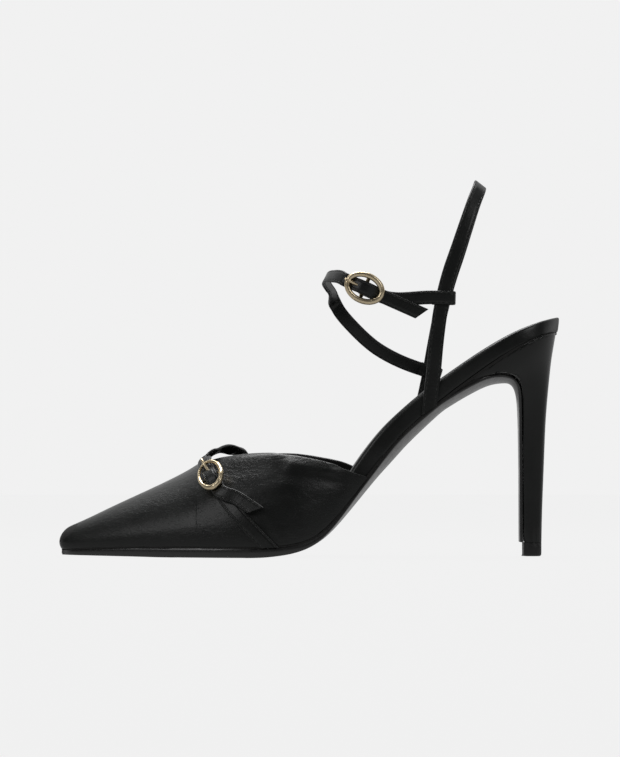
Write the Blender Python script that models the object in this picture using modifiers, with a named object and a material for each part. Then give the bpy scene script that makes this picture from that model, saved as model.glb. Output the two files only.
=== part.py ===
"""Slingback pump for the left foot, with a buckled strap over the throat and another round the ankle.

The toe points along -X and the outer (lateral) side is -Y. The origin is on the floor, below the middle of
the shoe's box. All sizes are in metres.
"""

import math

import bmesh
import bpy
import numpy as np
from mathutils import Matrix, Vector

# Last
LAST_LENGTH = 0.2325
BALL_WIDTH = 0.074
WAIST_WIDTH = 0.044
SEAT_WIDTH = 0.0455
SEAT_HEIGHT = 0.105
TOPLINE_HEIGHT = 0.0484
RIDGE_SHIFT = 0.0015

# Sole, footbed and upper
SOLE_EDGE = 0.0046
SOLE_CROWN = 0.0040
SOLE_SETBACK = 0.0005
RIM_DEPTH = 0.0095
RIM_ROUND = 0.0026
SEAT_DISH = 0.0012
UPPER_WALL = 0.0016
LINING_SPACE = 0.0006
FIT_GAP = 0.0003

# Heel
STEM_WIDTH = 0.0100
TOP_PIECE_HEIGHT = 0.0062
TOP_PIECE_BEVEL = 0.0008

# Straps
STRAP_THICKNESS = 0.0012
STRAP_ROUND = 0.0003
VAMP_STRAP_WIDTH = 0.0065
ANKLE_STRAP_WIDTH = 0.0064
SLING_WIDTH = 0.0068
SLING_HEIGHT = 0.1753
SLING_LEAN = 0.0026
SLING_LEAD = 0.0022
THROAT_ARCH_HEIGHT = 0.0503
STRAP_STEP = 0.0042

# Buckles
BUCKLE_LENGTH = 0.0190
BUCKLE_WIDTH = 0.0142
BUCKLE_STOCK = 0.0021
BUCKLE_BAR = 0.0012
PRONG_STOCK = 0.0010
STRAP_CREST = 0.0004

LATERAL, MEDIAL = -1, 1

# Feather line in plan: share of the last's length, the width it follows, and its shares on each side.
OUTLINE = (
    # along, width, lateral, medial
    (0.000, BALL_WIDTH, 0.000, 0.000),
    (0.004, BALL_WIDTH, 0.041, 0.039),
    (0.012, BALL_WIDTH, 0.066, 0.064),
    (0.029, BALL_WIDTH, 0.103, 0.099),
    (0.055, BALL_WIDTH, 0.149, 0.142),
    (0.098, BALL_WIDTH, 0.214, 0.200),
    (0.150, BALL_WIDTH, 0.284, 0.262),
    (0.211, BALL_WIDTH, 0.362, 0.330),
    (0.271, BALL_WIDTH, 0.435, 0.392),
    (0.332, BALL_WIDTH, 0.497, 0.441),
    (0.384, BALL_WIDTH, 0.532, 0.459),
    (0.427, BALL_WIDTH, 0.541, 0.454),
    (0.470, BALL_WIDTH, 0.524, 0.424),
    (0.513, BALL_WIDTH, 0.478, 0.381),
    (0.556, WAIST_WIDTH, 0.700, 0.573),
    (0.600, WAIST_WIDTH, 0.614, 0.523),
    (0.643, WAIST_WIDTH, 0.555, 0.491),
    (0.699, WAIST_WIDTH, 0.518, 0.477),
    (0.755, WAIST_WIDTH, 0.507, 0.482),
    (0.816, SEAT_WIDTH, 0.499, 0.488),
    (0.880, SEAT_WIDTH, 0.503, 0.501),
    (0.924, SEAT_WIDTH, 0.484, 0.484),
    (0.958, SEAT_WIDTH, 0.415, 0.415),
    (0.982, SEAT_WIDTH, 0.310, 0.310),
    (0.995, SEAT_WIDTH, 0.185, 0.185),
    (1.000, SEAT_WIDTH, 0.035, 0.035),
)

# Bottom of the last from the side: how far it has risen to the seat, and the sole's edge below it.
SEAT_LINE = (
    # along, share of the rise, share of the sole's edge
    (0.000, 0.0068, 0.52),
    (0.047, 0.0054, 0.66),
    (0.094, 0.0041, 0.80),
    (0.159, 0.0022, 0.95),
    (0.211, 0.0000, 1.00),
    (0.392, 0.0000, 1.00),
    (0.445, 0.0102, 0.90),
    (0.479, 0.0271, 0.78),
    (0.509, 0.0584, 0.64),
    (0.540, 0.1239, 0.47),
    (0.572, 0.2147, 0.36),
    (0.613, 0.3351, 0.30),
    (0.675, 0.5117, 0.30),
    (0.710, 0.5850, 0.30),
    (0.758, 0.6757, 0.30),
    (0.813, 0.7693, 0.30),
    (0.868, 0.8572, 0.30),
    (0.917, 0.9267, 0.30),
    (0.962, 0.9749, 0.30),
    (1.000, 1.0000, 0.30),
)

# Top of the last from the side, from the nose up the instep.
RIDGE = (
    # along, share of the topline's height
    (0.018, 0.293),
    (0.061, 0.386),
    (0.104, 0.488),
    (0.147, 0.583),
    (0.190, 0.678),
    (0.233, 0.779),
    (0.255, 0.835),
    (0.276, 0.901),
    (0.319, 1.029),
    (0.362, 1.145),
    (0.427, 1.298),
    (0.513, 1.477),
    (0.630, 1.674),
)

# Topline of the two wings from the side, from the throat to their rear corners.
TOPLINE = (
    # along, lateral, medial: shares of the topline's height
    (0.280, 0.911, 0.911),
    (0.304, 0.936, 0.934),
    (0.340, 0.967, 0.963),
    (0.400, 0.996, 0.996),
    (0.449, 0.992, 1.014),
    (0.485, 0.965, 0.998),
    (0.528, 0.917, 0.964),
    (0.554, 0.874, 0.938),
    (0.581, 0.818, 0.900),
    (0.593, 0.798, 0.870),
    (0.608, 0.775, 0.839),
    (0.625, 0.756, 0.804),
)

# How each rib of the upper leaves the feather line and arrives at the ridge.
RIB_FORM = (
    # along, outward bulge (share of the ball width), rise (share of the rib), reach across at the top
    (0.000, 0.044, 0.30, 1.15),
    (0.030, 0.040, 0.34, 0.72),
    (0.100, 0.036, 0.42, 0.60),
    (0.200, 0.034, 0.48, 0.56),
    (0.350, 0.036, 0.50, 0.56),
    (0.480, 0.036, 0.50, 0.56),
    (0.630, 0.022, 0.50, 0.56),
)

# Depth of the covered footbed, measured square to its underside.
FOOTBED = (
    # along, share of the rim's depth
    (0.000, 0.21),
    (0.427, 0.26),
    (0.500, 0.34),
    (0.545, 0.50),
    (0.580, 0.74),
    (0.615, 0.91),
    (0.675, 0.95),
    (0.730, 0.95),
    (0.790, 0.90),
    (0.868, 0.83),
    (0.917, 0.76),
    (0.962, 0.70),
    (1.000, 0.66),
)

# Front of the heel from the side, from where the sole leaves the last, round the arch and down the breast.
SOLE_LEAVES_LAST = 0.760
HEEL_LIP = 0.784
HEEL_FRONT = (
    # along, share of the seat's height, half width of the sole's flap there as a share of the seat's width
    (0.776, 0.7082, 0.494),
    (0.794, 0.7328, 0.492),
    (0.815, 0.7590, 0.482),
    (0.835, 0.7825, 0.462),
    (0.855, 0.8005, 0.425),
    (0.876, 0.8100, 0.372),
    (0.896, 0.8105, 0.305),
    (0.911, 0.8000, 0.243),
    (0.922, 0.7770, 0.190),
    (0.9274, 0.7430, 0.158),
    (0.9291, 0.6950, 0.136),
    (0.9296, 0.6380, 0.121),
    (0.9300, 0.5240, 0.106),
    (0.9305, 0.3690, 0.099),
    (0.9305, 0.2140, 0.097),
    (0.9305, 0.1070, 0.096),
)

# Heel sections from over the seat down to the top piece: the seat's outline, made smaller and less tilted.
HEEL_SECTIONS = (
    # share of the seat's height at the back, back edge as a share of the last's length, tilt, size
    (1.060, 1.0020, 1.00, 1.00),
    (1.000, 0.9990, 1.00, 0.99),
    (0.962, 0.9960, 0.99, 0.93),
    (0.924, 0.9930, 0.96, 0.83),
    (0.886, 0.9900, 0.92, 0.71),
    (0.848, 0.9880, 0.85, 0.59),
    (0.800, 0.9855, 0.75, 0.475),
    (0.745, 0.9830, 0.60, 0.390),
    (0.676, 0.9800, 0.42, 0.330),
    (0.590, 0.9770, 0.22, 0.290),
    (0.480, 0.9748, 0.08, 0.262),
    (0.350, 0.9725, 0.00, 0.244),
    (0.210, 0.9695, 0.00, 0.230),
    (0.050, 0.9680, 0.00, 0.220),
)

# One leg of the sling loop, from the waist up to the middle of the arch behind the ankle.
SLING_LEG = (
    # along, share of the climb from the rim to the top, share of the spread, turn of the width in degrees
    (0.7372, 0.000, 1.000, 7),
    (0.7412, 0.075, 1.000, 7),
    (0.7460, 0.158, 0.997, 7),
    (0.7522, 0.298, 0.983, 9),
    (0.7612, 0.438, 0.961, 12),
    (0.7776, 0.587, 0.918, 16),
    (0.7985, 0.718, 0.841, 20),
    (0.8165, 0.829, 0.712, 25),
    (0.8325, 0.923, 0.498, 31),
    (0.8433, 0.979, 0.249, 36),
    (0.8466, 1.000, 0.000, 38),
)

# Ankle strap between the inner leg of the sling and its buckle.
ANKLE_ROUTE = (
    # along, share of the sling's climb, share of its spread (+ inner), forward turn of the width (degrees)
    (0.7180, 0.209, 1.05, 70),
    (0.6860, 0.236, 1.03, 67),
    (0.6385, 0.292, 0.97, 60),
    (0.5900, 0.384, 0.85, 52),
    (0.5625, 0.450, 0.64, 47),
    (0.5440, 0.519, 0.32, 44),
    (0.5285, 0.568, 0.02, 43),
    (0.5295, 0.588, -0.30, 46),
    (0.5440, 0.587, -0.70, 54),
    (0.5610, 0.577, -1.02, 62),
)
ANKLE_BUCKLE_ALONG = 0.6090
ANKLE_BUCKLE_CLIMB = 0.5255
ANKLE_BUCKLE_SPREAD = -1.235
ANKLE_BUCKLE_DIP = 24
ANKLE_BUCKLE_LENGTH_TO_TIP = 0.0290
ANKLE_JOIN_INNER = 0.188
ANKLE_JOIN_OUTER = 0.487

# The vamp's strap and its lower end on the upper, by where they lie seen from the side.
VAMP_STRAP_INNER = (
    # along, share of the topline's height, stand-off against one that lies flat
    (0.418, 0.085, 1.0),
    (0.411, 0.190, 1.0),
    (0.402, 0.380, 1.0),
    (0.390, 0.600, 1.0),
    (0.378, 0.800, 1.0),
    (0.369, 0.905, 1.2),
    (0.362, 0.965, 1.8),
)
THROAT_ARCH = (
    # along, share of the arch's height, share of the ball's width to the inner side, width turn in degrees
    (0.346, 0.985, 0.130, 30),
    (0.326, 1.000, 0.000, 33),
    (0.309, 0.962, -0.110, 40),
)
VAMP_STRAP_OUTER = (
    # along, share of the topline's height
    (0.339, 0.540),
    (0.367, 0.378),
    (0.397, 0.223),
    (0.422, 0.085),
)
VAMP_TAIL = (
    # along, share of the topline's height
    (0.357, 0.555),
    (0.397, 0.436),
)
VAMP_BUCKLE_ALONG = 0.3140
VAMP_BUCKLE_CLIMB = 0.725
VAMP_BUCKLE_TOWARD = (0.3295, 0.600)

# How the outsole's underside rounds off and draws in behind the ball.
SOLE_ROUND = (
    # along, share of the crown, share of the setback
    (0.00, 0.00, 0.0),
    (0.46, 0.00, 0.0),
    (0.58, 0.50, 0.8),
    (0.63, 0.72, 1.0),
    (0.66, 1.00, 1.0),
    (0.70, 0.96, 1.0),
    (0.73, 0.86, 1.0),
    (0.76, 0.76, 1.0),
    (0.81, 0.74, 1.0),
    (0.84, 0.48, 1.0),
    (0.87, 0.16, 1.0),
    (0.90, 0.08, 1.0),
    (1.00, 0.06, 1.0),
)

INSOLE_START = 0.030
WING_END = 0.6145
HEEL_TILT = math.radians(29.5)
STEM_SIZE = 0.220
HEEL_OUTLINE = (0.79, 0.83, 0.87, 0.90, 0.925, 0.945, 0.962, 0.976, 0.987, 0.995, 1.0)

TOE_RIBS = (0, 0.004, 0.010, 0.020, 0.036, 0.060, 0.095, 0.140, 0.185, 0.225, 0.255, 0.273)
WING_RIBS = (
    0.2805, 0.284, 0.292, 0.304, 0.322, 0.345, 0.371, 0.400, 0.430, 0.460, 0.488, 0.512, 0.534, 0.554,
    0.572, 0.588, 0.602,
)
RIB_ROWS = 10
NOSE_FADE = 0.053


class Curve:
    """Smooth value through a table's rows, with no overshoot between them and straight past its ends."""

    def __init__(self, at, values):
        self.at = np.array(at, float)
        self.values = np.array(values, float)
        slope = np.diff(self.values) / np.diff(self.at)
        before, after = slope[:-1], slope[1:]
        same_way = before * after > 0
        total = np.where(same_way, before + after, 1.0)
        inner = np.where(same_way, 2 * before * after / total, 0.0)
        self.slopes = np.concatenate([slope[:1], inner, slope[-1:]])

    def __call__(self, at):
        if at <= self.at[0]:
            return self.values[0] + self.slopes[0] * (at - self.at[0])
        if at >= self.at[-1]:
            return self.values[-1] + self.slopes[-1] * (at - self.at[-1])
        i = int(np.searchsorted(self.at, at, side="right")) - 1
        width = self.at[i + 1] - self.at[i]
        t = (at - self.at[i]) / width
        start = (1 + 2 * t) * (1 - t) ** 2 * self.values[i]
        end = t * t * (3 - 2 * t) * self.values[i + 1]
        leaving = t * (1 - t) ** 2 * width * self.slopes[i]
        arriving = t * t * (t - 1) * width * self.slopes[i + 1]
        return start + end + leaving + arriving


class Path:
    """Line in the shoe's long upright plane by length run along it, with the normal up from it."""

    def __init__(self, points):
        points = np.array(points, float)
        runs = np.hypot(*np.diff(points, axis=0).T)
        self.marks = np.concatenate([[0.0], np.cumsum(runs)])
        self.x = Curve(self.marks, points[:, 0])
        self.z = Curve(self.marks, points[:, 1])
        self.length = self.marks[-1]

    def place(self, run, y, lift):
        step = 0.0004
        ahead, behind = run + step, run - step
        tangent = Vector((self.x(ahead) - self.x(behind), self.z(ahead) - self.z(behind))).normalized()
        return Vector((self.x(run) - lift * tangent.y, y, self.z(run) + lift * tangent.x))


def column(table, index, size=1.0):
    return Curve([row[0] for row in table], [row[index] * size for row in table])


SEAT_EDGE = SEAT_LINE[-1][2] * SOLE_EDGE
rise_share = column(SEAT_LINE, 1)
sole_edge = column(SEAT_LINE, 2, SOLE_EDGE)
ridge_height = column(RIDGE, 1, TOPLINE_HEIGHT)
topline = {
    LATERAL: column(TOPLINE, 1, TOPLINE_HEIGHT),
    MEDIAL: column(TOPLINE, 2, TOPLINE_HEIGHT),
}
half_width = {
    LATERAL: Curve([row[0] for row in OUTLINE], [row[1] * row[2] for row in OUTLINE]),
    MEDIAL: Curve([row[0] for row in OUTLINE], [row[1] * row[3] for row in OUTLINE]),
}
footbed_depth = column(FOOTBED, 1, RIM_DEPTH)
bulge_out = column(RIB_FORM, 1, BALL_WIDTH)
bulge_rise = column(RIB_FORM, 2)
top_reach = column(RIB_FORM, 3)


def seat_height(along):
    """Height of the last's bottom above the floor."""
    return rise_share(along) * (SEAT_HEIGHT - SEAT_EDGE) + sole_edge(along)


def seat_tangent(along):
    step = 0.002
    climb = seat_height(along + step) - seat_height(along - step)
    return Vector((2 * step * LAST_LENGTH, 0, climb)).normalized()


def on_seat_line(along, y=0.0, lift=0.0):
    """Point at this share of the length, raised square to the last's bottom."""
    tangent = seat_tangent(along)
    return Vector((along * LAST_LENGTH - lift * tangent.z, y, seat_height(along) + lift * tangent.x))


def spaced(start, end, count):
    return [start + (end - start) * i / (count - 1) for i in range(count)]


def new_object(name, mesh, material, collection):
    mesh.materials.append(material)
    mesh.shade_smooth()
    mesh.set_sharp_from_angle(angle=math.radians(40))
    made = bpy.data.objects.new(name, mesh)
    collection.objects.link(made)
    return made


def mesh_from(build, name):
    """Mesh of a bmesh, with its doubles merged and its faces turned outward."""
    bmesh.ops.remove_doubles(build, verts=build.verts, dist=0.000002)
    bmesh.ops.recalc_face_normals(build, faces=build.faces)
    mesh = bpy.data.meshes.new(name)
    build.to_mesh(mesh)
    build.free()
    return mesh


def bridge(build, rows, closed):
    """Quads between neighbouring rows of vertices."""
    for near, far in zip(rows, rows[1:]):
        count = len(near)
        for i in range(count if closed else count - 1):
            j = (i + 1) % count
            build.faces.new((near[i], near[j], far[j], far[i]))


def plate_mesh(name, path, stations, half, levels, under, over, columns):
    """Closed plate along a path.

    half(side, run) is its half width. levels(run) gives the side wall's (inset, lift) rows from the bottom
    up, and under and over give the lift of the two faces at a share across, from -1 to 1.
    """
    outline = [Vector((run, -half(LATERAL, run))) for run in stations]
    outline += [Vector((run, half(MEDIAL, run))) for run in reversed(stations)]
    runs = list(stations) + list(reversed(stations))
    count = len(outline)
    build = bmesh.new()
    loops = []
    for level in range(len(levels(stations[0]))):
        loop = []
        for i, point in enumerate(outline):
            inset, lift = levels(runs[i])[level]
            along = outline[(i + 1) % count] - outline[i - 1]
            inward = Vector((-along.y, along.x)).normalized()
            moved = point + inward * inset
            loop.append(build.verts.new(path.place(moved.x, moved.y, lift)))
        loops.append(loop)
    bridge(build, loops, closed=True)
    last = len(stations) - 1
    for loop, level, lift in ((loops[0], 0, under), (loops[-1], -1, over)):
        ladder = []
        for i, run in enumerate(stations):
            lateral, medial = loop[i], loop[count - 1 - i]
            between = []
            if 0 < i < last:
                edges = levels(run)[level][0]
                for across in spaced(-1, 1, columns + 2)[1:-1]:
                    to_medial = (1 + across) / 2 * (half(MEDIAL, run) - edges)
                    to_lateral = (1 - across) / 2 * (half(LATERAL, run) - edges)
                    place = path.place(run, to_medial - to_lateral, lift(run, across))
                    between.append(build.verts.new(place))
            ladder.append([lateral, *between, medial])
        bridge(build, ladder[1:-1], closed=False)
        build.faces.new([ladder[0][0], ladder[0][-1], *reversed(ladder[1])])
        build.faces.new([ladder[-1][0], ladder[-1][-1], *reversed(ladder[-2])])
    return mesh_from(build, name)


def heel_front():
    """Line over the sole from where it leaves the last, round the arch and down the breast."""
    start = on_seat_line(SOLE_LEAVES_LAST)
    rows = [(row[0] * LAST_LENGTH, row[1] * SEAT_HEIGHT) for row in HEEL_FRONT]
    return Path([(start.x, start.z), *rows])


def outsole(material, collection):
    """Sole along the last's bottom that leaves it ahead of the heel and runs down the breast as a flap."""
    shares = spaced(0.0, SOLE_LEAVES_LAST, 36)
    front = heel_front()
    flap_end = front.length + HEEL_FRONT[-1][1] * SEAT_HEIGHT - TOP_PIECE_HEIGHT - FIT_GAP
    flap_runs = spaced(0.0, flap_end, 30)[1:]
    flap_width = Curve(front.marks[1:], [row[2] * SEAT_WIDTH for row in HEEL_FRONT])
    places = [on_seat_line(share, 0, -FIT_GAP) for share in shares]
    places += [front.place(run, 0, -FIT_GAP) for run in flap_runs]
    path = Path([(place.x, place.z) for place in places])
    flap_count = len(flap_runs)
    flap_shares = [SOLE_LEAVES_LAST + (1 - SOLE_LEAVES_LAST) * run / flap_end for run in flap_runs]
    edge = Curve(path.marks, [sole_edge(share) - FIT_GAP for share in shares] + [SEAT_EDGE] * flap_count)
    crown_share = column(SOLE_ROUND, 1)
    crown = Curve(path.marks, [crown_share(share) * SOLE_CROWN for share in shares + flap_shares])
    setback_share = column(SOLE_ROUND, 2)
    halves = {}
    for side in (LATERAL, MEDIAL):
        widths = [half_width[side](share) - setback_share(share) * SOLE_SETBACK for share in shares]
        widths += [min(flap_width(run), widths[-1]) for run in flap_runs]
        halves[side] = Curve(path.marks, widths)

    def half(side, run):
        return max(halves[side](run), SOLE_SETBACK)

    def levels(run):
        depth = edge(run)
        return ((0.16 * depth, -depth), (0.0, -0.75 * depth), (0.0, -0.2 * depth), (0.06 * depth, 0.0))

    def under(run, across):
        return -edge(run) - crown(run) * (1 - across * across)

    def over(run, across):
        return 0.0

    toe_runs = [share * LAST_LENGTH for share in TOE_RIBS[1:6]]
    stations = [0.0] + toe_runs + [mark for mark in path.marks if mark > toe_runs[-1] + 0.002]
    mesh = plate_mesh("outsole", path, stations, half, levels, under, over, columns=4)
    return new_object("outsole", mesh, material, collection)


def insole(material, collection):
    """Covered footbed: thin inside the upper, then a thick rim with a rounded edge as wide as the last."""
    shares = spaced(INSOLE_START, 1.0, 34)
    places = [on_seat_line(share) for share in shares]
    path = Path([(place.x, place.z) for place in places])
    inside = UPPER_WALL + LINING_SPACE
    inset_share = Curve((0.0, WING_END + 0.004, WING_END + 0.030, 1.0), (1.0, 1.0, 0.0, 0.0))
    depth = Curve(path.marks, [footbed_depth(share) for share in shares])
    nose = [math.sqrt(1 - (1 - min((share - INSOLE_START) / 0.03, 1)) ** 2) for share in shares]
    rounding = Curve((0.0, 0.80 * path.length, 0.96 * path.length, path.length), (0.42, 0.42, 0.24, 0.20))
    halves = {}
    for side in (LATERAL, MEDIAL):
        widths = []
        for share, blunt in zip(shares, nose):
            widths.append((half_width[side](share) - inside * inset_share(share)) * (1 + blunt) / 2)
        halves[side] = Curve(path.marks, widths)

    def half(side, run):
        return halves[side](run)

    def levels(run):
        thick = depth(run)
        turn = min(RIM_ROUND, rounding(run) * thick)
        rows = [(0.12 * turn, 0.0), (0.0, 0.12 * turn)]
        for degrees in (0, 30, 60, 90):
            angle = math.radians(degrees)
            rows.append((turn * (1 - math.cos(angle)), thick - turn * (1 - math.sin(angle))))
        return rows

    def under(run, across):
        return 0.0

    def over(run, across):
        thick = depth(run)
        return thick - SEAT_DISH * min(thick / RIM_DEPTH, 1) * (1 - across * across)

    near_end = [path.length - before for before in (0.0032, 0.0018, 0.0007)]
    stations = sorted([*path.marks[:-1], *near_end]) + [path.length]
    mesh = plate_mesh("insole", path, stations, half, levels, under, over, columns=4)
    return new_object("insole", mesh, material, collection)


def rib(along, side):
    """Control points of a rib of the upper, from the feather line to the ridge."""
    foot = on_seat_line(along, side * half_width[side](along))
    step = 0.002
    ahead = on_seat_line(along + step, side * half_width[side](along + step))
    behind = on_seat_line(max(along - step, 0), side * half_width[side](max(along - step, 0)))
    run = ahead - behind
    outward = Vector((run.y, -run.x, 0)).normalized() * -side
    top_along = along + RIDGE[0][0] * math.exp(-along / NOSE_FADE)
    height = ridge_height(top_along)
    top = Vector((top_along * LAST_LENGTH, RIDGE_SHIFT * min(top_along / TOPLINE[0][0], 1), height))
    slope = (ridge_height(top_along + step) - ridge_height(top_along - step)) / (2 * step * LAST_LENGTH)
    if along == 0:
        outward = Vector((-1, 0, 0))
    across = Vector((foot.x - top.x, foot.y - top.y, 0))
    reach = across.length * top_reach(along)
    across.normalize()
    across.z = across.x * slope
    rise = (top.z - foot.z) * bulge_rise(along)
    near_foot = foot + outward * bulge_out(along) + Vector((0, 0, rise))
    near_top = top + across * reach
    return foot, near_foot, near_top, top


def along_rib(points, t):
    foot, near_foot, near_top, top = points
    s = 1 - t
    return foot * s ** 3 + near_foot * (3 * s * s * t) + near_top * (3 * s * t * t) + top * t ** 3


def share_up_rib(points, height):
    """Share along a rib where it reaches a height."""
    low, high = 0.0, 1.0
    for _ in range(24):
        middle = (low + high) / 2
        if along_rib(points, middle).z < height:
            low = middle
        else:
            high = middle
    return (low + high) / 2


def on_upper(along, height, side, stand_off=0.0):
    """Point over the upper's outer face at this height, and the face's outward normal there."""
    points = rib(along, side)
    t = share_up_rib(points, height)
    place = along_rib(points, t)
    up = along_rib(points, min(t + 0.02, 1)) - along_rib(points, max(t - 0.02, 0))
    ahead = rib(along + 0.004, side)
    behind = rib(along - 0.004, side)
    run = along_rib(ahead, t) - along_rib(behind, t)
    normal = up.cross(run).normalized()
    if normal.y * side < 0:
        normal = -normal
    return place + normal * stand_off, normal


def upper(material, collection):
    """Vamp and wings as one shell. Ribs fan round the toe, and end at the topline behind the throat."""
    build = bmesh.new()
    for side in (LATERAL, MEDIAL):
        rows = []
        for along in TOE_RIBS + (TOPLINE[0][0],) + WING_RIBS + (WING_END,):
            points = rib(along, side)
            top = 1.0 if along <= TOPLINE[0][0] else share_up_rib(points, topline[side](along))
            row = []
            for i in range(RIB_ROWS + 1):
                row.append(build.verts.new(along_rib(points, top * i / RIB_ROWS)))
            rows.append(row)
        bridge(build, rows, closed=False)
    bmesh.ops.remove_doubles(build, verts=build.verts, dist=0.000002)
    bmesh.ops.recalc_face_normals(build, faces=build.faces)
    face = max(build.faces, key=lambda found: found.calc_center_median().z)
    if face.normal.z < 0:
        bmesh.ops.reverse_faces(build, faces=build.faces)
    mesh = bpy.data.meshes.new("upper")
    build.to_mesh(mesh)
    build.free()
    made = new_object("upper", mesh, material, collection)
    wall = made.modifiers.new("wall", "SOLIDIFY")
    wall.thickness = UPPER_WALL
    wall.offset = -1
    wall.use_even_offset = True
    wall.thickness_clamp = 0
    return made


def heel_back(height):
    """Back edge of the heel at a height."""
    rows = sorted((row[0] * SEAT_HEIGHT, row[1] * LAST_LENGTH) for row in HEEL_SECTIONS)
    return Curve([row[0] for row in rows], [row[1] for row in rows])(height)


def heel_loop(height, tilt, size):
    """Closed heel section: the seat's outline at this size, tilted down toward the front."""
    angle = tilt * HEEL_TILT
    grown = (size - STEM_SIZE) / (1 - STEM_SIZE)
    scale = (STEM_WIDTH + (SEAT_WIDTH - STEM_WIDTH) * grown) / SEAT_WIDTH
    loop = []
    for side in (LATERAL, MEDIAL):
        for share in HEEL_OUTLINE[::side * LATERAL]:
            reach = (1 - share) * LAST_LENGTH * size
            width = (half_width[side](share) - FIT_GAP) * scale
            x = heel_back(height) - reach * math.cos(angle)
            loop.append(Vector((x, side * width, height - reach * math.sin(angle))))
    return loop


def prism(name, outline, half, collection):
    """Cutter: a side outline of (x, z) points carried across the shoe."""
    build = bmesh.new()
    face = build.faces.new([build.verts.new((x, -half, z)) for x, z in outline])
    swept = bmesh.ops.extrude_face_region(build, geom=[face])
    moved = [item for item in swept["geom"] if isinstance(item, bmesh.types.BMVert)]
    bmesh.ops.translate(build, verts=moved, vec=(0, 2 * half, 0))
    mesh = mesh_from(build, name)
    made = bpy.data.objects.new(name, mesh)
    made.hide_render = True
    made.display_type = "WIRE"
    collection.objects.link(made)
    return made


def cut(target, cutter, operation):
    boolean = target.modifiers.new(operation.lower(), "BOOLEAN")
    boolean.operation = operation
    boolean.solver = "EXACT"
    boolean.object = cutter


def heel(material, collection, cutters):
    """Stem lofted up to the seat's outline, trimmed to the seat line, the arch and the breast."""
    build = bmesh.new()
    loops = []
    for height, _, tilt, size in HEEL_SECTIONS:
        loops.append([build.verts.new(place) for place in heel_loop(height * SEAT_HEIGHT, tilt, size)])
    bridge(build, loops, closed=True)
    build.faces.new(loops[0])
    build.faces.new(loops[-1])
    made = new_object("heel", mesh_from(build, "heel"), material, collection)
    outline = []
    for share in spaced(HEEL_LIP, 1.0, 18):
        place = on_seat_line(share, 0, -FIT_GAP)
        outline.append((place.x, place.z))
    bottom = TOP_PIECE_HEIGHT + FIT_GAP
    clear = LAST_LENGTH + RIM_DEPTH
    outline += [(clear, SEAT_HEIGHT), (clear, bottom), (HEEL_FRONT[-1][0] * LAST_LENGTH, bottom)]
    front = heel_front()
    for run in reversed(spaced(0.0, front.length, 40)):
        place = front.place(run, 0, 0)
        if place.x > outline[0][0]:
            outline.append((place.x, place.z))
    cut(made, prism("heel_profile", outline, SEAT_WIDTH, cutters), "INTERSECT")
    return made


def top_piece(material, collection):
    """Hard tip under the heel, to the heel's own bottom outline, with its lower edge bevelled."""
    height, _, tilt, size = HEEL_SECTIONS[-1]
    front = HEEL_FRONT[-1][0] * LAST_LENGTH
    outline = [place for place in heel_loop(height * SEAT_HEIGHT, tilt, size) if place.x > front]
    build = bmesh.new()
    half = outline[0].y
    count = len(outline) // 2
    corners = [Vector((front, half, 0)), *outline[:count], *outline[count:], Vector((front, -half, 0))]
    face = build.faces.new([build.verts.new((place.x, place.y, 0)) for place in corners])
    swept = bmesh.ops.extrude_face_region(build, geom=[face])
    moved = [item for item in swept["geom"] if isinstance(item, bmesh.types.BMVert)]
    bmesh.ops.translate(build, verts=moved, vec=(0, 0, TOP_PIECE_HEIGHT))
    bmesh.ops.remove_doubles(build, verts=build.verts, dist=0.00005)
    bmesh.ops.recalc_face_normals(build, faces=build.faces)
    under = [edge for edge in build.edges if all(vert.co.z < 0.00001 for vert in edge.verts)]
    bmesh.ops.bevel(build, geom=under, offset=TOP_PIECE_BEVEL, segments=2, profile=0.5, affect="EDGES")
    return new_object("top_piece", mesh_from(build, "top_piece"), material, collection)


def smooth_route(rows):
    """Places and width directions along a strap, on one smooth curve through its rows."""
    places = [np.array(row[0]) for row in rows]
    acrosses = [np.array(row[1]) for row in rows]
    gaps = [np.linalg.norm(b - a) for a, b in zip(places, places[1:])]

    def slopes(values):
        steps = [(b - a) / gap for a, b, gap in zip(values, values[1:], gaps)]
        inner = []
        for i in range(1, len(values) - 1):
            before, after = gaps[i - 1], gaps[i]
            inner.append((steps[i - 1] * after + steps[i] * before) / (before + after))
        return [steps[0], *inner, steps[-1]]

    bend, turn = slopes(places), slopes(acrosses)
    route = []
    for i, gap in enumerate(gaps):
        count = max(1, round(gap / STRAP_STEP))
        for k in range(count + (i == len(gaps) - 1)):
            t = k / count
            start, end = (1 + 2 * t) * (1 - t) ** 2, t * t * (3 - 2 * t)
            leaving, arriving = t * (1 - t) ** 2 * gap, t * t * (t - 1) * gap
            parts = []
            for values, rates in ((places, bend), (acrosses, turn)):
                held = start * values[i] + end * values[i + 1]
                parts.append(held + leaving * rates[i] + arriving * rates[i + 1])
            route.append((Vector(parts[0]), Vector(parts[1])))
    return route


def strap(name, rows, width, material, collection, slants=(0, 0)):
    """Flat strap with eased edges along its route. A slant cuts an end off at an angle."""
    route = smooth_route(rows)
    half, thin, eased = width / 2, STRAP_THICKNESS / 2, STRAP_ROUND
    section = (
        (-half + eased, -thin), (half - eased, -thin), (half, -thin + eased), (half, thin - eased),
        (half - eased, thin), (-half + eased, thin), (-half, thin - eased), (-half, -thin + eased),
    )
    build = bmesh.new()
    loops = []
    last = len(route) - 1
    for i, (place, across) in enumerate(route):
        tangent = (route[min(i + 1, last)][0] - route[max(i - 1, 0)][0]).normalized()
        across = (across - tangent * across.dot(tangent)).normalized()
        face = tangent.cross(across)
        slant = slants[0] if i == 0 else slants[1] if i == last else 0
        across += tangent * slant
        loops.append([build.verts.new(place + across * w + face * h) for w, h in section])
    bridge(build, loops, closed=True)
    build.faces.new(loops[0])
    build.faces.new(loops[-1])
    return new_object(name, mesh_from(build, name), material, collection)


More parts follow.
